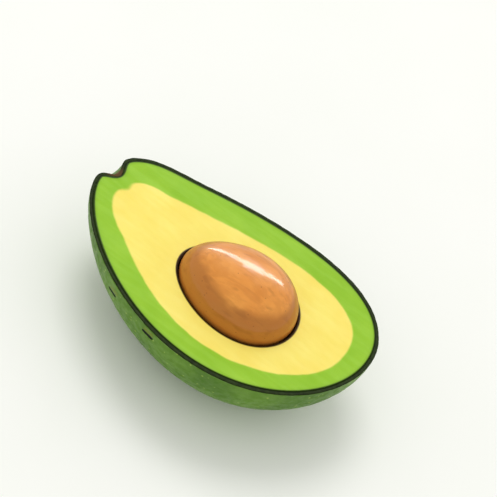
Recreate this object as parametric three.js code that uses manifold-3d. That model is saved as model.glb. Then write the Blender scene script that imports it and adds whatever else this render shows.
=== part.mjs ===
// Half an avocado, cut lengthwise, lying on its back with the pit still in it.
//
// Three pieces that come apart in a kitchen: the leathery peel, the flesh inside it, and the pit.
// Millimetres, +Z up and out of the cut face. +X runs along the fruit from the stem end to the round
// blossom end, and -Y is its rounder side. The origin is under the middle of the fruit, on the level
// that it stands on. Until the end, shapes are made about the fruit's own middle: mid-length on the
// middle line, in the cut plane.
import * as THREE from "three";
import { mergeVertices } from "three/addons/utils/BufferGeometryUtils.js";
import Module from "manifold-3d";

const wasm = await Module();
wasm.setup();

// ---------------------------------------------------------------- driving dimensions, in millimetres
const LENGTH = 110; // stem end to blossom end
const WIDTH = 68.5; // across at the widest place, and twice the depth of the half
const NECK_TAPER = 0.174; // how much slimmer the stem end is than the blossom end: 0 is an ellipse
const BOW = 7.2; // how far the ends of the middle line lean to +Y, which makes -Y the rounder side
const PEEL = 1.5; // thickness of the peel
const FLAT_DEPTH = 1; // how much of the back is pressed flat where the half rests

const PIT_LENGTH = 43;
const PIT_WIDTH = 31.9;
const PIT_TAPER = 0.11; // the pit is slimmer towards the stem too
const PIT_OFFSET = 6.9; // from mid-length towards the blossom end
const PIT_SIDE = -1; // from the middle line towards the rounder side

const DIMPLE_OFFSET = 4.7; // from the middle line to the dimple that the stem left, on the +Y side
const DIMPLE_DEPTH = 4.7;
const DIMPLE_SPREAD = 3.7; // how far out the dimple fades to a third of its depth
const SHOULDER_OFFSET = 17; // from the middle line to the shoulder beside the dimple
const SHOULDER_HEIGHT = 2.5; // how far the shoulder swells out
const SHOULDER_SPREAD = 13.5;

const SKIN_GAP = 0.3; // clearance between peel and flesh
const PIT_GAP = 0.4; // clearance between flesh and pit

// ---------------------------------------------------------------- how finely round shapes are drawn
const BODY_SEGMENTS = 44; // round the whole fruit, before it is halved
const BODY_RINGS = 32;
const BODY_CROWDING = 1.35; // above 1, rings lie closer together at the stem end, where the dimple is
const PIT_SEGMENTS = 32;
const PIT_RINGS = 16;
const PIT_CROWDING = 1;

// ---------------------------------------------------------------- the outline
// An egg: an ellipse whose half-width is multiplied by 1 + taper * t, where t runs from -1 at the stem
// end to 1 at the blossom end. Its widest place has a closed form, so width is the true width.
function eggRadius(t, width, taper) {
  const shape = (s) => Math.sqrt(Math.max(0, 1 - s * s)) * (1 + taper * s);
  const widest = taper === 0 ? 0 : (Math.sqrt(1 + 8 * taper * taper) - 1) / (4 * taper);
  return ((width / 2) * shape(t)) / shape(widest);
}

// An egg turned round the X axis.
function eggGeometry({ length, width, taper, segments, rings, crowding }) {
  const profile = [];
  for (let i = 0; i <= rings; i++) {
    const t = -Math.cos(Math.PI * (i / rings) ** crowding);
    const onAxis = i === 0 || i === rings;
    profile.push(new THREE.Vector2(onAxis ? 0 : eggRadius(t, width, taper), (t * length) / 2));
  }
  return new THREE.LatheGeometry(profile, segments).rotateZ(-Math.PI / 2);
}

// How far the middle line has leaned to +Y at a place along the length.
const leanAt = (x) => BOW * (x / (LENGTH / 2)) ** 2;

// The place along the length where the stem end is that wide, found by halving.
function stemEndX(radius) {
  let [wide, narrow] = [0, -1];
  for (let i = 0; i < 40; i++) {
    const t = (wide + narrow) / 2;
    if (eggRadius(t, WIDTH, NECK_TAPER) > radius) wide = t;
    else narrow = t;
  }
  return (narrow * LENGTH) / 2;
}

// A point of the stem end's outline, that far to +Y of the middle line, and which way it faces.
function stemEndPoint(radius) {
  const step = 0.05;
  const at = (r) => new THREE.Vector3(stemEndX(r), r + leanAt(stemEndX(r)), 0);
  const along = at(radius + step).sub(at(radius - step));
  return { point: at(radius), outward: new THREE.Vector3(-along.y, along.x, 0).normalize() };
}

// ---------------------------------------------------------------- from geometry to solids and back
function toSolid(geometry) {
  const bare = geometry.clone();
  bare.deleteAttribute("normal");
  bare.deleteAttribute("uv");
  const merged = mergeVertices(bare);
  return new wasm.Manifold(
    new wasm.Mesh({
      numProp: 3,
      vertProperties: new Float32Array(merged.attributes.position.array),
      triVerts: new Uint32Array(merged.index.array),
    }),
  );
}

function toGeometry(solid) {
  const { vertProperties, triVerts } = solid.getMesh();
  const geometry = new THREE.BufferGeometry();
  geometry.setAttribute("position", new THREE.BufferAttribute(vertProperties, 3));
  geometry.setIndex(new THREE.BufferAttribute(triVerts, 1));
  geometry.computeVertexNormals();
  return geometry;
}

// ---------------------------------------------------------------- the fruit's body
// The dimple and the shoulder are soft bumps: a point near the middle of one moves along its outward
// direction, less and less with distance.
const bumps = [
  { offset: DIMPLE_OFFSET, height: -DIMPLE_DEPTH, spread: DIMPLE_SPREAD },
  { offset: SHOULDER_OFFSET, height: SHOULDER_HEIGHT, spread: SHOULDER_SPREAD },
].map((bump) => ({ ...bump, ...stemEndPoint(bump.offset) }));

// The whole fruit, inset from the outside. Each bump's middle moves in with the inset, so that the
// peel stays as thick in the dimple as round it.
function wholeFruit(inset) {
  const geometry = eggGeometry({
    length: LENGTH - 2 * inset,
    width: WIDTH - 2 * inset,
    taper: NECK_TAPER,
    segments: BODY_SEGMENTS,
    rings: BODY_RINGS,
    crowding: BODY_CROWDING,
  });
  const position = geometry.attributes.position;
  for (let i = 0; i < position.count; i++) {
    const leaned = new THREE.Vector3().fromBufferAttribute(position, i);
    leaned.y += leanAt(leaned.x);
    const moved = leaned.clone();
    for (const { point, outward, height, spread } of bumps) {
      const middle = point.clone().addScaledVector(outward, -inset);
      const away = leaned.distanceTo(middle) / spread;
      moved.addScaledVector(outward, height * Math.exp(-away * away));
    }
    position.setXYZ(i, moved.x, moved.y, moved.z);
  }
  return toSolid(geometry);
}

// Everything between two heights, wide enough for any piece.
function layer(low, high) {
  const side = 2 * (LENGTH + WIDTH);
  const box = new THREE.BoxGeometry(side, side, high - low);
  return toSolid(box.translate(0, 0, (low + high) / 2));
}

// The whole fruit with its back pressed flat where it rests. The flat moves in with the inset.
const flattenedFruit = (inset) => wholeFruit(inset).intersect(layer(FLAT_DEPTH + inset - WIDTH / 2, WIDTH));

const belowCut = layer(-WIDTH, 0);

// ---------------------------------------------------------------- the pit, or the bowl that it lies in
function pitShape(growth) {
  const egg = eggGeometry({
    length: PIT_LENGTH + 2 * growth,
    width: PIT_WIDTH + 2 * growth,
    taper: PIT_TAPER,
    segments: PIT_SEGMENTS,
    rings: PIT_RINGS,
    crowding: PIT_CROWDING,
  });
  return toSolid(egg.translate(PIT_OFFSET, leanAt(PIT_OFFSET) + PIT_SIDE, 0));
}

// ---------------------------------------------------------------- the three pieces
const pieces = {
  peel: {
    solid: flattenedFruit(0).intersect(belowCut).subtract(flattenedFruit(PEEL)),
    finish: { color: 0x5f8a35, roughness: 0.45 },
  },
  flesh: {
    solid: flattenedFruit(PEEL + SKIN_GAP).intersect(belowCut).subtract(pitShape(PIT_GAP)),
    finish: { color: 0xe8e27a, roughness: 0.5 },
  },
  pit: {
    solid: pitShape(0),
    finish: { color: 0xc9823c, roughness: 0.35 },
  },
};

const fruit = new THREE.Group();
for (const [name, { solid, finish }] of Object.entries(pieces)) {
  const material = new THREE.MeshStandardMaterial({ ...finish, metalness: 0 });
  const mesh = new THREE.Mesh(toGeometry(solid), material);
  mesh.name = name;
  fruit.add(mesh);
}

// Stand it on its flat, with the origin under the middle of its box.
const box = new THREE.Box3().setFromObject(fruit);
const middle = box.getCenter(new THREE.Vector3());
fruit.position.set(-middle.x, -middle.y, -box.min.z);

const avocadoHalf = new THREE.Group();
avocadoHalf.add(fruit);

export default avocadoHalf;
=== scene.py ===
# %% [markdown]
# # Half an avocado, lying in its peel
# This notebook gives the looks to half an avocado that lies on its back: a leathery green peel,
# flesh that goes from lime to butter yellow, and a brown pit standing out of it. The sizes come
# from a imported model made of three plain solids. It is loaded first and never moved. Each of its
# solids is then hidden behind a finer piece, made in the same place.

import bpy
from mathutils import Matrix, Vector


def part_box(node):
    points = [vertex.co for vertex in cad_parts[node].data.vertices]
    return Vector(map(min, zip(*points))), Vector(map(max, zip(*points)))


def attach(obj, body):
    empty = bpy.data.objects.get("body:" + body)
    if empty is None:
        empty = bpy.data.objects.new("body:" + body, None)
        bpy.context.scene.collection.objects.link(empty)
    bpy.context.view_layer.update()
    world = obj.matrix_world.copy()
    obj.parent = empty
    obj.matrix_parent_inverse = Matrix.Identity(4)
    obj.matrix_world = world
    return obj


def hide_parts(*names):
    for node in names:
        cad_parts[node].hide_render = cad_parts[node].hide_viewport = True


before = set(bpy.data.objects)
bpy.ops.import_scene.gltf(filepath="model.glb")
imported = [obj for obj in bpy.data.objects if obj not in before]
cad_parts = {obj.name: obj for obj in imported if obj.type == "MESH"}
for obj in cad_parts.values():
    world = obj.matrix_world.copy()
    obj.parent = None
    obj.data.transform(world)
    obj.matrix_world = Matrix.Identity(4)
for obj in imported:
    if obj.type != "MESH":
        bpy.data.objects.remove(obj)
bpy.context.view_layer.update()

# %% [markdown]
# ## Tools and units
# Blender works in metres and a fruit is measured in millimetres, so sizes are written in
# millimetres and multiplied by MM where they are first named. NumPy moves many points at once,
# which is much faster than a Python loop over vertices.

# %% Imports and units
import math

import bmesh
import bpy
import numpy as np
from mathutils import Matrix, Vector, kdtree, noise

MM = 0.001
ROOT = "root"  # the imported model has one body, because nothing on it moves
print("Blender", bpy.app.version_string, "with one millimetre as", MM)

# %% [markdown]
# ## The form of the fruit
# An avocado is close to an egg. It could be modelled by pushing the vertices of a subdivided cube
# about, but a formula is better here: the peel's two sides and the outside of the flesh are the
# same form at different depths, and a formula gives all of them from one set of sizes, so they
# nest.
#
# The formula takes a direction, a point of a ball of radius 1. It stretches the ball to the fruit's
# length, widens it more towards the blossom end, and leans both ends sideways. Two soft bumps at
# the stem end are added last: the dimple that the stem left, and the shoulder beside it.

# %% Sizes of the fruit
LENGTH = 110 * MM
WIDTH = 68.5 * MM
NECK_TAPER = 0.174  # how much slimmer the stem end is than the blossom end: 0 is an ellipse
BOW = 7.2 * MM  # how far the ends of the middle line lean to +Y, so the rounder side is -Y
PEEL = 1.5 * MM
# The two bumps at the stem end: how far from the middle line, how high, and how far they spread.
DIMPLE_SIDE, DIMPLE_DEPTH, DIMPLE_SPREAD = 4.7 * MM, 4.7 * MM, 3.7 * MM
SHOULDER_SIDE, SHOULDER_HEIGHT, SHOULDER_SPREAD = 17 * MM, 2.5 * MM, 13.5 * MM
print("fruit:", LENGTH / MM, "by", WIDTH / MM, "mm, peel:", PEEL / MM, "mm")


# %% An egg pulled out of a ball
def egg(directions, length, width, taper):
    """Points of an egg along X, for directions with their last axis x, y, z."""
    widest = (math.sqrt(1 + 8 * taper**2) - 1) / (4 * taper)
    fullest = math.sqrt(1 - widest**2) * (1 + taper * widest)
    along = directions[..., 0]
    spread = width / 2 * (1 + taper * along) / fullest
    return np.stack(
        [along * length / 2, directions[..., 1] * spread, directions[..., 2] * spread], axis=-1
    )


def lean(x):
    """How far the middle line has leaned to +Y at a place along the length."""
    return BOW * (x / (LENGTH / 2)) ** 2


# %% The dimple and the shoulder
OUTLINE_STEPS = 4001  # so many that points lie about a hundredth of a millimetre apart


def stem_end_point(side):
    """A point of the stem end's outline that far from the middle line, and which way it faces."""
    turn = np.linspace(0, math.pi / 2, OUTLINE_STEPS)
    outline = np.stack([-np.cos(turn), np.sin(turn), 0 * turn], axis=-1)
    outline = egg(outline, LENGTH, WIDTH, NECK_TAPER)
    at = int(np.searchsorted(outline[:, 1], side))
    outline[:, 1] += lean(outline[:, 0])
    along = outline[at + 1] - outline[at - 1]
    outward = np.array([-along[1], along[0], 0])
    return outline[at], outward / np.linalg.norm(outward)


DIMPLE_AT, DIMPLE_OUTWARD = stem_end_point(DIMPLE_SIDE)
SHOULDER_AT, SHOULDER_OUTWARD = stem_end_point(SHOULDER_SIDE)
# Each bump is its middle, which way it swells, how high, and how far it spreads.
DIMPLE = (DIMPLE_AT, DIMPLE_OUTWARD, -DIMPLE_DEPTH, DIMPLE_SPREAD)
SHOULDER = (SHOULDER_AT, SHOULDER_OUTWARD, SHOULDER_HEIGHT, SHOULDER_SPREAD)
print("dimple at", DIMPLE_AT / MM, "shoulder at", SHOULDER_AT / MM, "mm")


# %% The whole form at any depth under the skin
def fruit_points(directions, inset, bumps=(DIMPLE, SHOULDER)):
    """The fruit's surface, moved in by inset, which may be one number or one for each direction."""
    inset = np.broadcast_to(inset, directions.shape[:-1])
    points = egg(directions, LENGTH - 2 * inset, WIDTH - 2 * inset, NECK_TAPER)
    points[..., 1] += lean(points[..., 0])
    moved = points.copy()
    for middle, outward, height, spread in bumps:
        sunk = middle - inset[..., None] * outward
        away = np.linalg.norm(points - sunk, axis=-1) / spread
        moved += (height * np.exp(-(away**2)))[..., None] * outward
    return moved


# %% [markdown]
# ## Where it lies
# The formula's own origin is the middle of the fruit in the cut plane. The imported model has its
# origin under the middle of its box, on the level that it rests on. Both have the same outline, so
# the distance between the two origins is the distance between the middles of the two boxes. The
# height is easier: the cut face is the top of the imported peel.

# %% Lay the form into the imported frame
COLUMNS = 640  # how many points go once round the fruit, the same on every ring


def ring_directions(below):
    """One ring of directions, that many radians below the cut."""
    around = np.arange(COLUMNS) * 2 * math.pi / COLUMNS
    flat = math.cos(below)
    return np.stack(
        [flat * np.cos(around), flat * np.sin(around), np.full(COLUMNS, -math.sin(below))], axis=-1
    )


peel_low, peel_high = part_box("peel")
outline = fruit_points(ring_directions(0), 0)
middle_of_form = (outline.min(axis=0) + outline.max(axis=0)) / 2
HOME = np.array([
    (peel_low.x + peel_high.x) / 2 - middle_of_form[0],
    (peel_low.y + peel_high.y) / 2 - middle_of_form[1],
    peel_high.z,
])
print("own middle of the fruit lies at", HOME / MM, "mm")
print("outline, mm:", np.ptp(outline, axis=0)[:2] / MM, "packed peel:", (peel_high - peel_low) / MM)


def fruit(directions, inset, resting=0.0):
    """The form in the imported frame, pressed flat where it would reach below the resting level."""
    points = fruit_points(directions, inset) + HOME
    points[..., 2] = np.maximum(points[..., 2], resting)
    return points


# %% [markdown]
# ## Skins made of rings
# Peel and flesh are both bowls. Each can be drawn as a stack of closed rings with the same number
# of points: start at the bottom of one side, go up to the cut, over the edge, and down the other
# side. Joining neighbouring rings with four-cornered faces gives a clean closed mesh, with no seam
# and no crowded poles anywhere that shows. A subdivided cage would do it too, but rings let every
# point carry its own numbers, such as how deep under the skin it is, and the materials read those.

# %% Small helpers for meshes
def store(mesh, key, values):
    """Keeps one number for each point on the mesh, where a material can read it by its name."""
    attribute = mesh.attributes.new(key, "FLOAT", "POINT")
    attribute.data.foreach_set("value", values.astype(np.float32))


def in_scene(name, data):
    """A new object for a mesh, a lamp or a camera, linked into the scene."""
    made = bpy.data.objects.new(name, data)
    bpy.context.scene.collection.objects.link(made)
    return made


def outward_normals(mesh):
    """Turns every face to look out of the closed mesh."""
    work = bmesh.new()
    work.from_mesh(mesh)
    bmesh.ops.recalc_face_normals(work, faces=work.faces)
    work.to_mesh(mesh)
    work.free()
    mesh.update()


def place(piece, node):
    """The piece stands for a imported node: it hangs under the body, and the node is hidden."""
    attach(piece, ROOT)
    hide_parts(node)


# %% A closed mesh from rings
def mesh_from_rings(name, rings, first_tip, last_tip, values, materials=None):
    """rings: arrays of COLUMNS points. values: {attribute: (one array per ring, both tips)}.
    materials: which material slot each band between two rings takes, the two end fans included."""
    points = np.concatenate(rings + [[first_tip], [last_tip]])
    first, last = len(points) - 2, len(points) - 1
    here = np.arange(COLUMNS)
    after = (here + 1) % COLUMNS
    faces, slots = [], []
    for band in range(len(rings) + 1):
        low, high = (band - 1) * COLUMNS, band * COLUMNS
        if band == 0:
            corners = [np.full(COLUMNS, first), high + after, high + here]
        elif band == len(rings):
            corners = [low + here, low + after, np.full(COLUMNS, last)]
        else:
            corners = [low + here, low + after, high + after, high + here]
        faces += np.stack(corners, axis=1).tolist()
        slots += [materials[band] if materials else 0] * COLUMNS
    mesh = bpy.data.meshes.new(name)
    mesh.from_pydata(points.tolist(), [], faces)
    mesh.polygons.foreach_set("material_index", slots)
    mesh.polygons.foreach_set("use_smooth", [True] * len(faces))
    for key, (per_ring, tips) in values.items():
        store(mesh, key, np.concatenate(per_ring + [tips]))
    outward_normals(mesh)
    print(f"{name}: {len(points)} points, {len(faces)} faces")
    return in_scene(name, mesh)


# %% Noise for many points
def noise_at(points, size, octaves=2, shift=0.0):
    """Smooth noise from about -1 to 1, for a feature size in metres."""
    flat = points.reshape(-1, 3) / size + shift
    values = [noise.fractal(Vector(p), 1.0, 2.0, octaves) for p in flat]
    return np.array(values).reshape(points.shape[:-1])


def cells_at(points, size):
    """0 in the middle of each cell of a random pattern, rising to about 1 at its border."""
    flat = points.reshape(-1, 3) / size
    values = [noise.voronoi(Vector(p))[0][0] for p in flat]
    return np.array(values).reshape(points.shape[:-1])


# %% [markdown]
# ## The peel
# The peel is a tough skin, a millimetre and a half thick. Outside it is never quite even: it has
# broad shallow dents from growing against leaves, and fine pebbles a couple of millimetres wide. A
# bump map would give the shading of these but leave the outline of the fruit perfectly smooth, so
# the larger ones are real shape here. They are cut inwards only, so the piece never grows past the
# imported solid.
#
# A few scratches and corky dots are pressed in as well. Each is kept as a number on the mesh too,
# so that the material can darken exactly the same spots.

# %% Marks on the skin
# Scratches on the rounder side, from end to end. Each end is given in millimetres from the fruit's
# own middle, first along the fruit and then up, so below the cut is negative.
SCRATCHES = [((-26.1, -6.1), (-23.2, -5.7)), ((-8.2, -3.9), (-4.6, -3.6))]
SCRATCH_WIDTH = 1.5 * MM
# Beside each scratch the skin has healed to an olive scar.
SCARS = [((-25.4, -3.9), (-22.5, -3.4)), ((-7.8, -2.2), (-4.8, -1.9))]
SCAR_WIDTH = 1.4 * MM
# Corky dots: degrees round the fruit, degrees below the cut, and radius in millimetres.
DOTS = [
    (40, 22, 1.1), (78, 35, 0.8), (120, 48, 1.2), (150, 20, 0.7), (205, 40, 1.0),
    (238, 55, 0.8), (290, 44, 1.1), (318, 62, 0.9), (335, 30, 0.7), (100, 12, 0.6),
]


def distance_to_line(points, start, end):
    """How far points are from a straight scratch, both given as (x, z)."""
    along = end - start
    share = np.clip(((points - start) @ along) / (along @ along), 0, 1)
    return np.linalg.norm(points - start - share[..., None] * along, axis=-1)


def line_mask(points, lines, width):
    """1 in the middle of a line on the rounder side, 0 away from all of them."""
    side_view = (points - HOME)[..., [0, 2]]
    on_round_side = points[..., 1] < HOME[1]
    mask = np.zeros(points.shape[:-1])
    for start, end in lines:
        away = distance_to_line(side_view, np.array(start) * MM, np.array(end) * MM) / (width / 2)
        mask = np.maximum(mask, np.exp(-(away**4)))
    return mask * on_round_side


def dot_mask(points):
    """1 in the middle of a corky dot."""
    mask = np.zeros(points.shape[:-1])
    for around, below, radius in DOTS:
        around, below = math.radians(around), math.radians(below)
        level = math.cos(below)
        direction = [level * math.cos(around), level * math.sin(around), -math.sin(below)]
        middle = fruit(np.array(direction), 0)
        away = np.linalg.norm(points - middle, axis=-1) / (radius * MM)
        mask = np.maximum(mask, np.exp(-(away**4)))
    return mask


CORK_DEPTH = 4.2 * MM  # the middle of the cork, under the smooth outline
CORK_RADIUS = 3.1 * MM


def cork_mask(points):
    """1 where the stem was attached, fading out over the dimple's wall."""
    middle = DIMPLE_AT + HOME - DIMPLE_OUTWARD * CORK_DEPTH
    away = np.linalg.norm(points - middle, axis=-1) / CORK_RADIUS
    return np.exp(-(away**4))


print(len(SCRATCHES), "scratches,", len(SCARS), "scars and", len(DOTS), "dots")


# %% The outside of the peel
DENTS, DENT_SIZE = 0.35 * MM, 24 * MM  # depth and width
PEBBLES, PEBBLE_SIZE = 0.13 * MM, 2.3 * MM
PEBBLE_BORDER = 0.75  # how far out in its cell a pebble ends
# Pebbles come and go in patches: how strong they mostly are, how much that varies, and the least.
PATCH_SIZE = 9 * MM
PATCH_MEAN, PATCH_SWING, PATCH_LEAST = 0.75, 0.6, 0.15
MARK_DEPTH = 0.16 * MM
DOT_DEPTH = 0.6  # as a share of MARK_DEPTH
CORK_GRAIN = 0.9 * MM
OUTER_ROWS = 104
LOWEST = math.radians(89.4)  # how far below the cut the lowest ring lies, just above the tip
EDGE = 0.3 * MM  # radius of the peel's rounded cut edge


def skin_relief(directions):
    """How far the outside is cut in at each direction, in metres."""
    smooth = fruit(directions, 0)
    dents = 0.5 - 0.5 * noise_at(smooth, DENT_SIZE)
    cells = np.clip(cells_at(smooth, PEBBLE_SIZE) / PEBBLE_BORDER, 0, 1) ** 2
    patchy = PATCH_MEAN + PATCH_SWING * noise_at(smooth, PATCH_SIZE, shift=7.3)
    patchy = np.clip(patchy, PATCH_LEAST, 1)
    scratches = line_mask(smooth, SCRATCHES, SCRATCH_WIDTH)
    marks = np.maximum(scratches, DOT_DEPTH * dot_mask(smooth))
    rough = cork_mask(smooth) * (0.5 + 0.5 * noise_at(smooth, CORK_GRAIN, octaves=3, shift=3.1))
    return DENTS * np.clip(dents, 0, 1) + PEBBLES * cells * patchy + MARK_DEPTH * (marks + rough)


first_below = math.asin(EDGE / (WIDTH / 2))  # the highest ring, where the rounded edge begins
downs = np.linspace(LOWEST, first_below, OUTER_ROWS)
outer_directions = np.stack([ring_directions(d) for d in downs])
outer_relief = skin_relief(outer_directions)
outer_rows = fruit(outer_directions, outer_relief)
print("skin is cut in by", outer_relief.min() / MM, "to", outer_relief.max() / MM, "mm")


# %% [markdown]
# ### Its cut edge
# A knife leaves a narrow level rim with crisp edges, but no edge of a fruit is razor sharp. Both
# corners are rounded by a fraction of a millimetre, which is enough to catch a line of light. The
# rim is the same form at growing depth, from the skin to the inner side.

# %% Rings over the rim
STEPS = 4  # from end to end of a rounded corner
MIDDLE_RINGS = (0.33, 0.67)  # where the rings between the two corners lie, as shares of the way


def rounded_corner(rising):
    """(how far in, how far down) along a quarter round, for a radius of 1."""
    turns = np.linspace(0, math.pi / 2, STEPS + 1)
    steps = [(1 - math.cos(a), 1 - math.sin(a)) for a in turns]
    return steps if rising else [(-across, down) for across, down in reversed(steps)]


rim_directions = ring_directions(0)
rim_relief = skin_relief(rim_directions)


def rim_ring(inset, down):
    """A ring of the level rim: it follows the uneven skin outside and runs true inside."""
    share = 1 - inset / PEEL
    points = fruit(rim_directions, inset + share * rim_relief)
    points[:, 2] = HOME[2] - down
    return points


rim_rings = [rim_ring(EDGE * across, EDGE * down) for across, down in rounded_corner(True)]
rim_rings += [rim_ring(EDGE + (PEEL - 2 * EDGE) * s, 0) for s in MIDDLE_RINGS]
rim_rings += [rim_ring(PEEL + EDGE * across, EDGE * down) for across, down in rounded_corner(False)]
print("rim:", len(rim_rings), "rings over", PEEL / MM, "mm")

# %% The inside of the peel and the finished mesh
INNER_ROWS = 22
INNER_LOWEST = math.radians(88)  # it never shows, so its lowest ring may be wider
inner_downs = np.linspace(first_below, INNER_LOWEST, INNER_ROWS)
inner_rows = [fruit(ring_directions(d), PEEL, resting=PEEL) for d in inner_downs]
bottom = np.array([[0.0, 0.0, -1.0]])
outer_tip, inner_tip = fruit(bottom, 0)[0], fruit(bottom, PEEL, resting=PEEL)[0]

peel_rings = list(outer_rows) + rim_rings + inner_rows
plain = np.zeros(COLUMNS)
inside = [plain] * (len(rim_rings) + len(inner_rows))
peel_values = {
    "scratch": (list(line_mask(outer_rows, SCRATCHES, SCRATCH_WIDTH)) + inside, [0, 0]),
    "scar": (list(line_mask(outer_rows, SCARS, SCAR_WIDTH)) + inside, [0, 0]),
    "dot": (list(dot_mask(outer_rows)) + inside, [0, 0]),
    "cork": ([cork_mask(ring) for ring in peel_rings], [0, 0]),
}
SKIN, RIM, INNER = 0, 1, 2  # material slots
peel_bands = [SKIN] * (OUTER_ROWS + 1) + [RIM] * len(rim_rings) + [INNER] * INNER_ROWS
peel = mesh_from_rings("peel_skin", peel_rings, outer_tip, inner_tip, peel_values, peel_bands)
place(peel, "peel")

# %% [markdown]
# ## The flesh
# The flesh fills the peel, is cut level, and has a bowl where the pit lies. Its mesh goes up the
# bowl, over a soft lip, across the cut face, and down the outside where the peel covers it. The
# bowl could be cut with a Boolean modifier, but that leaves long thin faces round the lip, just
# where the light shows every fault. Rings that run from the pit's outline to the peel's have none.

# %% The bowl and its lip
pit_low, pit_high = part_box("pit")
PIT_SIZE = pit_high - pit_low
PIT_MIDDLE = np.array((pit_low + pit_high) / 2)
PIT_TAPER = 0.11
PIT_GAP = 0.3 * MM
LIP = 0.55 * MM  # radius of the rounded lip


def bowl(directions, growth):
    """The pit's form grown by a distance, where it lies."""
    growth = np.broadcast_to(growth, directions.shape[:-1])
    return egg(directions, PIT_SIZE.x + 2 * growth, PIT_SIZE.y + 2 * growth, PIT_TAPER) + PIT_MIDDLE


def bowl_ring(growth, down):
    """A ring round the pit, level, at that depth under the cut."""
    points = bowl(rim_directions, growth)
    points[:, 2] = HOME[2] - down
    return points


BOWL_ROWS = 24
BOWL_LOWEST = math.radians(87)
lip_below = math.asin(LIP / (PIT_SIZE.y / 2))
bowl_downs = np.linspace(BOWL_LOWEST, lip_below, BOWL_ROWS)
bowl_rings = [bowl(ring_directions(d), PIT_GAP) for d in bowl_downs]
lip_rings = [bowl_ring(PIT_GAP + LIP * across, LIP * down) for across, down in rounded_corner(True)]
print("bowl across its lip, mm:", np.ptp(lip_rings[-1], axis=0)[:2] / MM)

# %% The cut face
# A long knife drags a little: the face has faint ridges across its path and is slightly uneven.
FACE_ROWS = 52
SEAM = 0.04 * MM  # hair's breadth between flesh and peel
FLESH_EDGE = 0.25 * MM
UNEVEN, UNEVEN_SIZE = 0.12 * MM, 16 * MM  # depth and width of its low places
RIDGES, RIDGE_SIZE = 0.03 * MM, 3.2 * MM
RIDGE_SLANT = 0.35  # how far the ridges turn away from straight along the fruit
RIDGE_WANDER, WANDER_SIZE = 0.35, 14 * MM
CALM_SHARE = 1 / 8  # the face runs level over this share of the way from either edge
edge_inset = PEEL + SEAM


def flesh_ring(inset, down):
    """A ring along the outside of the flesh at the cut."""
    points = fruit(rim_directions, inset)
    points[:, 2] = HOME[2] - down
    return points


inner_edge, outer_edge = lip_rings[-1], flesh_ring(edge_inset + FLESH_EDGE, 0)
shares = np.linspace(0, 1, FACE_ROWS + 2)[1:-1]
face_rings = np.stack([inner_edge + (outer_edge - inner_edge) * s for s in shares])
sideways = (face_rings[..., 0] * RIDGE_SLANT + face_rings[..., 1]) / RIDGE_SIZE
wander = RIDGE_WANDER * noise_at(face_rings, WANDER_SIZE)
ridges = 0.5 + 0.5 * np.sin(2 * math.pi * (sideways + wander))
sag = UNEVEN * np.clip(0.5 + 0.5 * noise_at(face_rings, UNEVEN_SIZE, shift=2.2), 0, 1)
calm = np.minimum(1, np.minimum(shares, 1 - shares) / CALM_SHARE)[:, None]
face_rings[..., 2] -= calm * (sag + RIDGES * ridges)
print("cut face dips by up to", (HOME[2] - face_rings[..., 2].min()) / MM, "mm")

# %% [markdown]
# ### How deep each point lies under the skin
# Avocado flesh is green under the skin and yellow further in. Where the colour turns depends on
# depth, so the mesh stores each point's distance from the outline, divided by the local thickness
# of the green band: 0 at the skin and 1 where green turns to yellow. The band is thicker on the
# flatter side and thinner at both tips. It hardly follows the narrow dimple, so the distance is
# measured from an outline without it. Painting a texture by hand would work for one fruit only;
# this follows any outline.

# %% Depth under the skin
GREEN_BAND = 10.2 * MM
BAND_BY_LENGTH = -0.031  # thinner towards the blossom end
BAND_BY_SIDE = 0.045  # thicker on the flatter side
BAND_CHANGES = [
    # where, from the fruit's own middle, how much thicker, and how far that spreads
    ((-60 * MM, -7.5 * MM), -7.8 * MM, 20 * MM),  # the stem end
    ((60 * MM, -15 * MM), -2.9 * MM, 19 * MM),  # the blossom end
    ((-43 * MM, 8 * MM), 2.1 * MM, 2.7 * MM),  # under the dimple
]


def distance_from(line, points):
    """The shortest distance from points, brought up to the cut plane, to a closed line in it."""
    tree = kdtree.KDTree(len(line))
    for at, point in enumerate(line):
        tree.insert(Vector(point), at)
    tree.balance()
    level = points.reshape(-1, 3) * [1, 1, 0] + [0, 0, HOME[2]]
    return np.array([tree.find(Vector(p))[2] for p in level]).reshape(points.shape[:-1])


def green_share(points):
    """Distance from the smooth outline, as a share of the green band's thickness there."""
    own = points[..., :2] - HOME[:2]
    band = GREEN_BAND + BAND_BY_LENGTH * own[..., 0] + BAND_BY_SIDE * own[..., 1]
    for place_at, thicker, spread in BAND_CHANGES:
        away = np.linalg.norm(own - place_at, axis=-1) / spread
        band = band + thicker * np.exp(-(away**2))
    smooth_outline = fruit_points(ring_directions(0), 0, bumps=[SHOULDER]) + HOME
    return distance_from(smooth_outline, points) / band


print("green band, mm:", GREEN_BAND / MM, "with", len(BAND_CHANGES), "local changes")

# %% The finished flesh
FLESH_ROWS = 22
flesh_downs = np.linspace(math.asin(FLESH_EDGE / (WIDTH / 2)), INNER_LOWEST, FLESH_ROWS)
edge_rings = [
    flesh_ring(edge_inset + FLESH_EDGE + FLESH_EDGE * across, FLESH_EDGE * down)
    for across, down in rounded_corner(False)
]
under_rings = [fruit(ring_directions(d), edge_inset, resting=edge_inset) for d in flesh_downs]

top_rings = lip_rings + list(face_rings) + edge_rings
flesh_rings = bowl_rings + top_rings + under_rings
top_share = list(green_share(np.stack(top_rings)))
depth_values = [top_share[0]] * BOWL_ROWS + top_share + [top_share[-1]] * FLESH_ROWS
top_rind = list(distance_from(fruit(ring_directions(0), 0), np.stack(top_rings)) / MM)
rind_values = [top_rind[0]] * BOWL_ROWS + top_rind + [top_rind[-1]] * FLESH_ROWS
LIP_SHADE_FADE = 0.7 * MM  # how far past the lip of the bowl its painted shade and staining fade out


# Painted shade in the gap round the pit, with staining from the pit's coat: dark brown in the bowl
# and on its lip.
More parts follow.
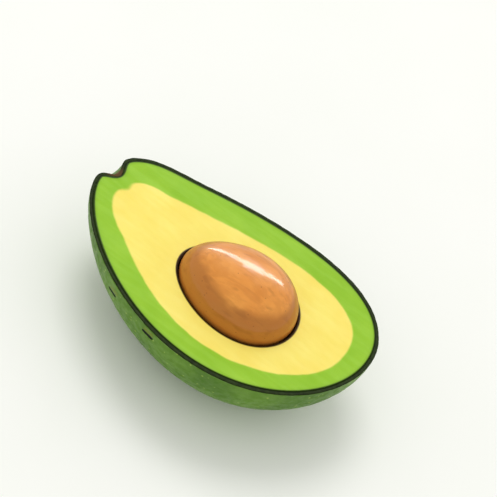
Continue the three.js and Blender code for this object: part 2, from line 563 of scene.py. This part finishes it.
def lip_stain_and_shade(ring):
    """1 in the bowl and on its lip, fading out just past it."""
    away = np.linalg.norm(ring[:, :2] - lip_rings[-1][:, :2], axis=1)
    return np.exp(-((away / LIP_SHADE_FADE) ** 2))


lip_shade_values = [np.ones(COLUMNS)] * (BOWL_ROWS + len(lip_rings))
lip_shade_values += [lip_stain_and_shade(r) for r in list(face_rings) + edge_rings] + [plain] * FLESH_ROWS
bowl_tip, flesh_tip = bowl(bottom, PIT_GAP)[0], fruit(bottom, edge_inset, resting=edge_inset)[0]
flesh_values = {
    # The last two numbers are for the tip of the bowl and the tip of the back. Neither tip shows.
    "depth": (depth_values, [1.5, 0]),
    "rind": (rind_values, [9, 1]),  # true distance from the skin, in millimetres
    # Painted shade round the pit, with staining from its coat.
    "lip_stain_and_shade": (lip_shade_values, [1, 0]),
}
flesh = mesh_from_rings("flesh_body", flesh_rings, bowl_tip, flesh_tip, flesh_values)
place(flesh, "flesh")

# %% [markdown]
# ## The pit
# The pit is a smooth hard seed, egg shaped, whole, and half sunk in its bowl. A UV sphere would
# pinch at both ends, and one end of this pit is in plain view. A cube with many cuts, blown up to a
# ball, has four-cornered faces everywhere. The same egg formula then stretches it, and shallow
# hollows and lengthwise furrows are pressed in, never out.

# %% A ball from a cube
def ball(cuts):
    """A bmesh of a cube cut finely and blown up to a ball of radius 1."""
    work = bmesh.new()
    bmesh.ops.create_cube(work, size=2)
    bmesh.ops.subdivide_edges(work, edges=work.edges, cuts=cuts, use_grid_fill=True)
    for vertex in work.verts:
        even = [math.tan(c * math.pi / 4) for c in vertex.co]
        vertex.co = Vector(even).normalized()
    return work


# %% Its hollows and furrows
PIT_CUTS = 46
PIT_HOLLOWS, HOLLOW_SIZE = 0.24 * MM, 11 * MM  # depth and width
PIT_FURROWS, FURROW_SIZE = 0.08 * MM, 2.4 * MM
FURROW_SQUEEZE = 0.28  # squeezing X before the noise is read draws it out into long furrows
work = ball(PIT_CUTS)
directions = np.array([v.co[:] for v in work.verts])
round_pit = bowl(directions, 0)
hollows = np.clip(0.5 - 0.5 * noise_at(round_pit, HOLLOW_SIZE, shift=4.0), 0, 1)
squeezed = round_pit * [FURROW_SQUEEZE, 1, 1]
furrows = np.clip(0.5 + 0.5 * noise_at(squeezed, FURROW_SIZE, octaves=3, shift=9.0), 0, 1)
pressed = -(PIT_HOLLOWS * hollows + PIT_FURROWS * furrows)
pit_points = bowl(directions, pressed)
for vertex, point in zip(work.verts, pit_points):
    vertex.co = point
print("pit is pressed in by up to", -pressed.min() / MM, "mm")

# %% The finished pit
# The lower part of the pit, up to some way above the cut, is painted darker: partly staining from
# the flesh, partly painted shade on its sides. Each point keeps how deep its furrow is and how much
# of this painted shade and staining it takes.
PIT_SHADE_TOP = 11 * MM  # above the cut: no painted shade or staining from here up
PIT_SHADE_FADE = 2.6 * MM
PIT_SHADE_WAVER, WAVER_SIZE = 1.2 * MM, 7 * MM
bmesh.ops.recalc_face_normals(work, faces=work.faces)
pit_mesh = bpy.data.meshes.new("pit_seed")
work.to_mesh(pit_mesh)
work.free()
pit_mesh.polygons.foreach_set("use_smooth", [True] * len(pit_mesh.polygons))
# Painted shade with staining from the flesh: 1 low on the pit, fading to 0 higher up.
above_cut = pit_points[:, 2] - HOME[2] + PIT_SHADE_WAVER * noise_at(pit_points, WAVER_SIZE, shift=6.0)
pit_stain_and_shade = np.clip((PIT_SHADE_TOP - above_cut) / PIT_SHADE_FADE, 0, 1)
store(pit_mesh, "furrow", furrows)
store(pit_mesh, "pit_stain_and_shade", pit_stain_and_shade * pit_stain_and_shade * (3 - 2 * pit_stain_and_shade))
pit = in_scene("pit_seed", pit_mesh)
place(pit, "pit")
print("pit:", len(pit_mesh.vertices), "points")

# %% [markdown]
# ## Building materials from nodes
# Every finish below is a node tree. Three effects come back in more than one of them, so each is a
# node group, built once: soft blotches of colour, long streaks, and small round specks. A group has
# named inputs, and each material sets its own values there. The shader itself always stays in the
# material.

# %% Helpers for node trees
def paint(code):
    """The linear colour of a hex code such as #5E8A36, with alpha 1."""
    channels = [int(code[i:i + 2], 16) / 255 for i in (1, 3, 5)]
    linear = [c / 12.92 if c <= 0.04045 else ((c + 0.055) / 1.055) ** 2.4 for c in channels]
    return (*linear, 1.0)


def feed(tree, socket, value):
    """Links a socket to another one, or gives it a plain value."""
    if isinstance(value, bpy.types.NodeSocket):
        tree.links.new(value, socket)
    else:
        socket.default_value = value


def add(tree, kind, settings=None, **inputs):
    """A new node. settings are its own options; inputs are values or sockets, by input name."""
    made = tree.nodes.new(kind)
    for key, value in (settings or {}).items():
        setattr(made, key, value)
    for key, value in inputs.items():
        feed(tree, made.inputs[key], value)
    return made


def calculate(tree, operation, a, b, c=0.0):
    """One Math node. Only a few operations, such as MULTIPLY_ADD (a times b, plus c), use c."""
    made = add(tree, "ShaderNodeMath", {"operation": operation})
    for socket, value in zip(made.inputs, (a, b, c)):
        feed(tree, socket, value)
    return made.outputs[0]


def ease(tree, value, low, high, to_low=0.0, to_high=1.0):
    """Takes low..high to to_low..to_high with soft ends."""
    smooth = {"interpolation_type": "SMOOTHSTEP"}
    ends = {"From Min": low, "From Max": high, "To Min": to_low, "To Max": to_high}
    return add(tree, "ShaderNodeMapRange", smooth, Value=value, **ends).outputs["Result"]


# %% Helpers for colours
def blend_colour(tree, share, a, b):
    """Colour a where share is 0 and b where it is 1. Either may be a socket or a colour."""
    mixed = add(tree, "ShaderNodeMix", {"data_type": "RGBA"})
    for socket, value in zip((mixed.inputs[0], mixed.inputs[6], mixed.inputs[7]), (share, a, b)):
        feed(tree, socket, value)
    return mixed.outputs[2]


def tint(tree, colour, code, amount, strength=1.0):
    """Lays the paint with that code over a colour, where the amount is above 0."""
    if strength < 1:
        amount = calculate(tree, "MULTIPLY", amount, strength)
    return blend_colour(tree, amount, colour, paint(code))


# %% Start a node group
def new_group(name, inputs, output):
    """An empty group with these inputs, {name: default}, and one output. Returns its tree, the
    sockets that bring the inputs in, and the one that takes the output, each by name."""
    tree = bpy.data.node_groups.new(name, "ShaderNodeTree")
    for key, value in inputs.items():
        kind = "NodeSocketVector" if value is None else "NodeSocketFloat"
        socket = tree.interface.new_socket(name=key, in_out="INPUT", socket_type=kind)
        if value is not None:
            socket.default_value = value
    tree.interface.new_socket(name=output, in_out="OUTPUT", socket_type="NodeSocketFloat")
    return tree, tree.nodes.new("NodeGroupInput").outputs, tree.nodes.new("NodeGroupOutput").inputs


# %% Group: soft blotches
def soften(tree, given, out, texture):
    """Noise lies round 0.5, so it is spread to 0..1, the more sharply the smaller Softness is."""
    low = calculate(tree, "SUBTRACT", 0.5, given["Softness"])
    high = calculate(tree, "ADD", 0.5, given["Softness"])
    tree.links.new(ease(tree, texture.outputs["Fac"], low, high), out["Amount"])
    print(tree.name, "has", len(tree.nodes), "nodes")


tree, given, out = new_group("blotches", {"Vector": None, "Scale": 80.0, "Softness": 0.2}, "Amount")
cloud = add(tree, "ShaderNodeTexNoise", Vector=given["Vector"], Scale=given["Scale"],
            Detail=3.0, Roughness=0.55)
soften(tree, given, out, cloud)
BLOTCHES = tree

# %% Group: long streaks
# Noise on a squeezed coordinate: the pattern changes slowly along the fruit and quickly across it.
streak_inputs = {"Vector": None, "Scale": 300.0, "Along": 0.12, "Softness": 0.15}
tree, given, out = new_group("streaks", streak_inputs, "Amount")
parts = add(tree, "ShaderNodeSeparateXYZ", Vector=given["Vector"])
squeezed = calculate(tree, "MULTIPLY", parts.outputs["X"], given["Along"])
joined = add(tree, "ShaderNodeCombineXYZ", X=squeezed, Y=parts.outputs["Y"], Z=parts.outputs["Z"])
grain = add(tree, "ShaderNodeTexNoise", Vector=joined.outputs["Vector"], Scale=given["Scale"],
            Detail=4.0, Roughness=0.6, Distortion=0.4)
soften(tree, given, out, grain)
STREAKS = tree

# %% Group: small round specks
# Cells of a Voronoi pattern, each with a dot in its middle. The cell's own random colour decides
# whether its dot shows, so that they don't look like a grid.
speck_inputs = {"Vector": None, "Scale": 350.0, "Radius": 0.2, "Share": 0.5}
tree, given, out = new_group("specks", speck_inputs, "Amount")
cells = add(tree, "ShaderNodeTexVoronoi", Vector=given["Vector"], Scale=given["Scale"],
            Randomness=1.0)
half = calculate(tree, "MULTIPLY", given["Radius"], 0.5)
dot = ease(tree, cells.outputs["Distance"], given["Radius"], half)
chance = add(tree, "ShaderNodeSeparateColor", Color=cells.outputs["Color"])
shown = calculate(tree, "LESS_THAN", chance.outputs["Red"], given["Share"])
tree.links.new(calculate(tree, "MULTIPLY", dot, shown), out["Amount"])
SPECKS = tree
print(tree.name, "has", len(tree.nodes), "nodes")


# %% A material with its usual nodes
def new_material(name, roughness, coat=0.0, coat_roughness=0.1):
    """Returns the material, its tree, its Principled node and the object's own coordinates."""
    material = bpy.data.materials.new(name)
    material.use_nodes = True
    tree = material.node_tree
    shader = tree.nodes["Principled BSDF"]
    shader.inputs["Roughness"].default_value = roughness
    shader.inputs["Coat Weight"].default_value = coat
    shader.inputs["Coat Roughness"].default_value = coat_roughness
    place_in = tree.nodes.new("ShaderNodeTexCoord").outputs["Object"]
    return material, tree, shader, place_in


def use(tree, group, **inputs):
    """Puts a node group into a tree and returns its output."""
    return add(tree, "ShaderNodeGroup", {"node_tree": group}, **inputs).outputs[0]


def stored(tree, name):
    """A number that the mesh carries at each point."""
    return add(tree, "ShaderNodeAttribute", {"attribute_name": name}).outputs["Fac"]


def raise_surface(tree, shader, height, distance):
    """Fine relief on the shader's normal, in metres."""
    made = add(tree, "ShaderNodeBump", Height=height, Distance=distance, Strength=1.0)
    tree.links.new(made.outputs["Normal"], shader.inputs["Normal"])


def report(material):
    """Prints how far a material has grown."""
    print(f"{material.name}: {len(material.node_tree.nodes)} nodes")


# %% [markdown]
# ## Skin
# Green skin is not one green. It is darker in broad patches, has pale pores under a millimetre
# wide, and turns nearly black in scratches, olive beside them, and brown and corky where the stem
# sat. It has a natural wax, so it shines softly, less where it is mottled, and hardly at all in the
# marks. Fine noise is added to the stored marks before they are cut off, so that their edges are
# ragged.

# %% Skin material
skin, tree, shader, spot = new_material(
    "avocado_skin", roughness=0.5, coat=0.04, coat_roughness=0.35
)
shader.inputs["Specular IOR Level"].default_value = 0.2
patches = use(tree, BLOTCHES, Vector=spot, Scale=55.0, Softness=0.16)
mottle = use(tree, BLOTCHES, Vector=spot, Scale=420.0, Softness=0.2)
pores = use(tree, SPECKS, Vector=spot, Scale=420.0, Radius=0.2, Share=0.6)
grain = add(tree, "ShaderNodeTexNoise", Vector=spot, Scale=1400.0, Detail=3.0).outputs["Fac"]
RAGGED = 0.8  # how far the grain, which lies round 0.5, moves the edge of a mark


def torn(mark, softness=0.15):
    """A stored mark with a ragged edge instead of an even one."""
    ragged = calculate(tree, "MULTIPLY_ADD", grain, RAGGED, stored(tree, mark))
    edge = 0.5 + RAGGED / 2
    return ease(tree, ragged, edge - softness, edge + softness)


scratch, cork = torn("scratch"), torn("cork", softness=0.25)
report(skin)

# %% Its colours
colour = blend_colour(tree, patches, paint("#4D7618"), paint("#648E24"))
colour = tint(tree, colour, "#48701C", mottle, strength=0.35)
colour = tint(tree, colour, "#AFC657", pores, strength=0.55)
colour = tint(tree, colour, "#6B5A2C", stored(tree, "dot"))
colour = tint(tree, colour, "#707C12", stored(tree, "scar"), strength=0.85)
colour = tint(tree, colour, "#0B0D05", scratch)
cork_colour = blend_colour(tree, mottle, paint("#5A3A1A"), paint("#7A5530"))
colour = blend_colour(tree, cork, colour, cork_colour)
tree.links.new(colour, shader.inputs["Base Color"])
report(skin)

# %% Its shine and fine relief
# Mottling takes the roughness half of the way from waxy to dull, and a mark takes it all the way.
MARK_DULLNESS = 2.0
PORE_DEPTH = 0.8  # against the height of the grain
dull = calculate(tree, "MULTIPLY", calculate(tree, "MAXIMUM", scratch, cork), MARK_DULLNESS)
dull = calculate(tree, "MAXIMUM", mottle, dull)
roughness = ease(tree, dull, 0.0, MARK_DULLNESS, to_low=0.4, to_high=0.9)
tree.links.new(roughness, shader.inputs["Roughness"])
relief = calculate(tree, "MULTIPLY_ADD", pores, -PORE_DEPTH, grain)
raise_surface(tree, shader, relief, distance=0.05 * MM)
report(skin)

# %% [markdown]
# ## Cut peel
# Where the knife went through, the peel is a very dark green, finely fibrous. It hardly shines, so
# it stays a crisp dark line from every side. It could share the skin's material, but then the same
# patches and pores would run over the rim. The inner side of the peel, which would only show with
# the flesh scooped out, is pale green with faint veins and gets its own finish too.

# %% Cut peel and inner peel materials
cut_peel, tree, shader, spot = new_material("cut_peel", roughness=0.7)
shader.inputs["Specular IOR Level"].default_value = 0.05
fibres = use(tree, BLOTCHES, Vector=spot, Scale=700.0, Softness=0.22)
colour = blend_colour(tree, fibres, paint("#1E2910"), paint("#2C3A17"))
colour = tint(tree, colour, "#5A4325", stored(tree, "cork"))
tree.links.new(colour, shader.inputs["Base Color"])
raise_surface(tree, shader, fibres, distance=0.04 * MM)
report(cut_peel)

inner_peel, tree, shader, spot = new_material("inner_peel", roughness=0.55)
veins = use(tree, STREAKS, Vector=spot, Scale=420.0, Along=0.15, Softness=0.2)
colour = blend_colour(tree, veins, paint("#8DB04A"), paint("#A8C65C"))
tree.links.new(colour, shader.inputs["Base Color"])
raise_surface(tree, shader, veins, distance=0.05 * MM)
report(inner_peel)

# %% [markdown]
# ## Flesh
# The stored depth decides the colour: lime under the skin, butter yellow inside, with a border that
# is crisp but not ruled. A little noise is added to the depth first, so that the border wavers as
# it does in a real fruit. Right against the peel the flesh is a thin line of dark green. Fine
# strands run along the fruit. The bowl and its lip are dark brown: painted shade in the gap round
# the pit, with staining from the pit's coat. Some light enters flesh and comes out beside where it
# went in, which is what subsurface scattering adds: it takes the hard plastic look away.

# %% Flesh material
pulp, tree, shader, spot = new_material("avocado_flesh", roughness=0.55)
shader.inputs["Specular IOR Level"].default_value = 0.05
shader.inputs["Subsurface Weight"].default_value = 0.12
shader.inputs["Subsurface Radius"].default_value = (1.0, 0.8, 0.25)
shader.inputs["Subsurface Scale"].default_value = 1.5 * MM
WAVER = 0.025  # how far the border wavers, as a share of the green band
cloud = add(tree, "ShaderNodeTexNoise", Vector=spot, Scale=110.0, Detail=3.0)
waver = ease(tree, cloud.outputs["Fac"], 0.2, 0.8, to_low=-WAVER, to_high=WAVER)
depth = calculate(tree, "ADD", stored(tree, "depth"), waver)
strands = use(tree, STREAKS, Vector=spot, Scale=520.0, Along=0.08, Softness=0.12)
clouds = use(tree, BLOTCHES, Vector=spot, Scale=60.0, Softness=0.25)
report(pulp)

# %% Its colours, from the middle out to the peel
yellow = blend_colour(tree, clouds, paint("#FCE56C"), paint("#FFEE7C"))
yellow = tint(tree, yellow, "#F6DF62", strands, strength=0.18)
rind = stored(tree, "rind")  # millimetres from the skin
near_peel = ease(tree, rind, 1.6, 3.4, to_low=0.8, to_high=0.0)
against_peel = ease(tree, rind, 1.75, 2.35, to_low=1.0, to_high=0.0)
lime = blend_colour(tree, clouds, paint("#93C62B"), paint("#9FCF36"))
lime = tint(tree, lime, "#84B528", near_peel)
lime = tint(tree, lime, "#86B535", strands, strength=0.15)
lime = tint(tree, lime, "#2E4214", against_peel)
past_border = ease(tree, depth, 0.96, 1.05)
colour = blend_colour(tree, past_border, lime, yellow)
# Painted shade in the gap round the pit, with staining from the pit's coat: dark brown on the bowl
# and its lip.
stained_and_shaded_lip = ease(tree, stored(tree, "lip_stain_and_shade"), 0.5, 0.95)
colour = tint(tree, colour, "#38240F", stained_and_shaded_lip)
tree.links.new(colour, shader.inputs["Base Color"])
report(pulp)

# %% Its shine and fine relief, drier and higher along the strands
STRAND_HEIGHT = 0.6  # against the height of the fine moist grain
roughness = ease(tree, strands, 0.0, 1.0, to_low=0.48, to_high=0.62)
tree.links.new(roughness, shader.inputs["Roughness"])
moist = add(tree, "ShaderNodeTexNoise", Vector=spot, Scale=900.0, Detail=4.0)
raised_strands = calculate(tree, "MULTIPLY", strands, STRAND_HEIGHT)
relief = calculate(tree, "ADD", moist.outputs["Fac"], raised_strands)
raise_surface(tree, shader, relief, distance=0.028 * MM)
report(pulp)

# %% [markdown]
# ## Pit
# The pit is a warm orange brown. Its lower part is darker: partly staining from the flesh, partly
# painted shade on its sides. It has darker veins along its length, darker still in the furrows,
# and a few pinpoint pores. A moist pit has a crisp highlight over a soft sheen. One roughness can
# give only one of the two, so the shader's coat, a thin clear layer over the base, adds the crisp
# one.

# %% Pit material
seed, tree, shader, spot = new_material(
    "avocado_pit", roughness=0.5, coat=0.32, coat_roughness=0.07
)
shader.inputs["Specular IOR Level"].default_value = 0.2
veins = use(tree, STREAKS, Vector=spot, Scale=330.0, Along=0.3, Softness=0.1)
patches = use(tree, BLOTCHES, Vector=spot, Scale=95.0, Softness=0.22)
pores = use(tree, SPECKS, Vector=spot, Scale=600.0, Radius=0.16, Share=0.35)
colour = blend_colour(tree, patches, paint("#E6923A"), paint("#F2A247"))
# Painted shade, with staining from the flesh: the lower part of the pit is darker.
colour = tint(tree, colour, "#C0782E", stored(tree, "pit_stain_and_shade"))
colour = tint(tree, colour, "#C0722B", veins, strength=0.28)
deep_furrows = ease(tree, stored(tree, "furrow"), 0.55, 0.9, to_low=0.0, to_high=0.4)
colour = tint(tree, colour, "#9C5A20", deep_furrows)
colour = tint(tree, colour, "#7A431A", pores, strength=0.5)
tree.links.new(colour, shader.inputs["Base Color"])
roughness = ease(tree, patches, 0.0, 1.0, to_low=0.36, to_high=0.5)
tree.links.new(roughness, shader.inputs["Roughness"])
raise_surface(tree, shader, veins, distance=0.03 * MM)
report(seed)

# %% Give the pieces their materials
for piece, materials in ((peel, (skin, cut_peel, inner_peel)), (flesh, (pulp,)), (pit, (seed,))):
    for material in materials:
        piece.data.materials.append(material)
    print(piece.name, [m.name for m in piece.data.materials])

# %% [markdown]
# ## Table, light and camera
# The table is a plain pale sheet, so large that its end shows only from near the table's own level.
# Soft white light comes from all round. One broad lamp, high up past the stem end, adds shape and
# the soft shadow. It is left out of reflections, where it would put a second bright patch on the
# pit. An arch of three strips does the opposite: it shows only in reflections, and its own is the
# streak on the pit. The streak could be painted on, but then it would stay put when the view turns.

# %% Table
TABLE_SIDE = 6.0  # metres
TABLE_CELLS = 24
work = bmesh.new()
bmesh.ops.create_grid(
    work, x_segments=TABLE_CELLS, y_segments=TABLE_CELLS, size=TABLE_SIDE / 2
)
table_mesh = bpy.data.meshes.new("table")
work.to_mesh(table_mesh)
work.free()
table = in_scene("table", table_mesh)
board, tree, shader, spot = new_material("pale_table", roughness=0.8)
shader.inputs["Specular IOR Level"].default_value = 0.0
faint = use(tree, BLOTCHES, Vector=spot, Scale=9.0, Softness=0.3)
colour = blend_colour(tree, faint, paint("#FBFCF6"), paint("#FEFEFA"))
tree.links.new(colour, shader.inputs["Base Color"])
table_mesh.materials.append(board)
print("table:", TABLE_SIDE, "m wide,", len(table_mesh.polygons), "faces")

# %% Light from all round
# The studio is a little brighter overhead than near the table, so the sides of the pit and of the
# fruit are a little darker than their tops. Seen directly, past the table's end, it is about as
# pale as the table.
LIGHT_LOW, LIGHT_OVERHEAD = (0.67, 0.67, 0.66, 1), (0.85, 0.85, 0.84, 1)
world = bpy.data.worlds.new("studio")
bpy.context.scene.world = world
world.use_nodes = True
tree = world.node_tree
background = tree.nodes["Background"]
direction = tree.nodes.new("ShaderNodeTexCoord").outputs["Generated"]
towards = add(tree, "ShaderNodeSeparateXYZ", Vector=direction)
height = ease(tree, towards.outputs["Z"], 0.15, 1.0)
light = blend_colour(tree, height, LIGHT_LOW, LIGHT_OVERHEAD)
seen = tree.nodes.new("ShaderNodeLightPath").outputs["Is Camera Ray"]
tree.links.new(tint(tree, light, "#F9FAF4", seen), background.inputs["Color"])
print("studio light:", len(tree.nodes), "nodes")


# %% The lamps
def lamp(name, place_at, across, up, width, height, brightness):
    """An area lamp that spans the directions across and up, and doesn't show to the camera."""
    data = bpy.data.lights.new(name, "AREA")
    data.shape = "RECTANGLE"
    data.size, data.size_y = width, height
    data.energy = brightness * math.pi * width * height  # so brightness doesn't depend on the size
    made = in_scene(name, data)
    turned = Matrix((across, up, across.cross(up))).transposed().to_4x4()
    turned.translation = place_at
    made.matrix_world = turned
    made.visible_camera = False
    print(f"{name}: {width:.2f} by {height:.2f} m, {data.energy:.1f} W")
    return made


def direction_to(azimuth, elevation):
    """The direction at that many degrees from +X towards +Y, and that many above the level."""
    around, above = math.radians(azimuth), math.radians(elevation)
    level = math.cos(above)
    return Vector((level * math.cos(around), level * math.sin(around), math.sin(above)))


def facing_the_pit(azimuth, elevation):
    """Directions across, up and outwards for a lamp that looks at the pit from there."""
    outwards = direction_to(azimuth, elevation)
    across = Vector((0, 0, 1)).cross(outwards).normalized()
    return across, outwards.cross(across), outwards


WINDOW_FROM = (133, 64)  # azimuth and elevation: over the stem end, from the flatter side
WINDOW_DISTANCE, WINDOW_SIDE = 2.9, 1.3  # metres
WINDOW_BRIGHTNESS = 4.2
across, up, outwards = facing_the_pit(*WINDOW_FROM)
window_at = Vector(PIT_MIDDLE) + outwards * WINDOW_DISTANCE
window = lamp(
    "window_lamp", window_at, across, up, WINDOW_SIDE, WINDOW_SIDE, WINDOW_BRIGHTNESS
)
window.visible_glossy = False

# %% The arch of strips that makes the streak
# Corners of the arch in metres, across and up, on a plane one metre from the pit. Strips of equal
# brightness join them, wide in the middle and slim at the ends, as the streak is. They light only
# by reflection, so they add a highlight and cast no shadow.
ARCH_FROM = (107, 45)  # azimuth and elevation
ARCH_CORNERS = [(-0.86, -0.4), (-0.2, 0.01), (0.2, 0.03), (0.9, -0.82)]
STRIP_WIDTHS = [0.14, 0.3, 0.14]
STRIP_BRIGHTNESS = 24
across, up, outwards = facing_the_pit(*ARCH_FROM)
for (x, y), (next_x, next_y), wide in zip(ARCH_CORNERS, ARCH_CORNERS[1:], STRIP_WIDTHS):
    step = Vector((next_x - x, next_y - y))
    along = (across * step.x + up * step.y).normalized()
    middle = Vector(PIT_MIDDLE) + outwards + across * (x + next_x) / 2 + up * (y + next_y) / 2
    upright = outwards.cross(along)
    strip = lamp("strip_lamp", middle, along, upright, step.length, wide, STRIP_BRIGHTNESS)
    strip.visible_diffuse = False

# %% Camera
# It looks down on the cut face from the rounder side, and is rolled, so that the fruit stands
# slanting in the view with its stem end at the upper left.
AZIMUTH, ELEVATION, ROLL = math.radians(12.7), math.radians(49.7), math.radians(26.07)
DISTANCE = 0.6  # metres
LENS = 134.1  # millimetres
AIM_RIGHT, AIM_UP = 8.8 * MM, 10.2 * MM

back = Vector((
    math.sin(AZIMUTH) * math.cos(ELEVATION),
    -math.cos(AZIMUTH) * math.cos(ELEVATION),
    math.sin(ELEVATION),
))
level_right = Vector((math.cos(AZIMUTH), math.sin(AZIMUTH), 0))
level_up = back.cross(level_right)
right = level_right * math.cos(ROLL) + level_up * math.sin(ROLL)
up = level_up * math.cos(ROLL) - level_right * math.sin(ROLL)

camera_data = bpy.data.cameras.new("camera")
camera_data.lens = LENS
camera_data.clip_start, camera_data.clip_end = 0.01, 20
camera = in_scene("camera", camera_data)
aim = Vector(HOME) + right * AIM_RIGHT + up * AIM_UP
pose = Matrix((right, up, back)).transposed().to_4x4()
pose.translation = aim + back * DISTANCE
camera.matrix_world = pose
bpy.context.scene.camera = camera
bpy.context.scene.view_settings.view_transform = "Standard"
print("camera at", camera.matrix_world.translation)
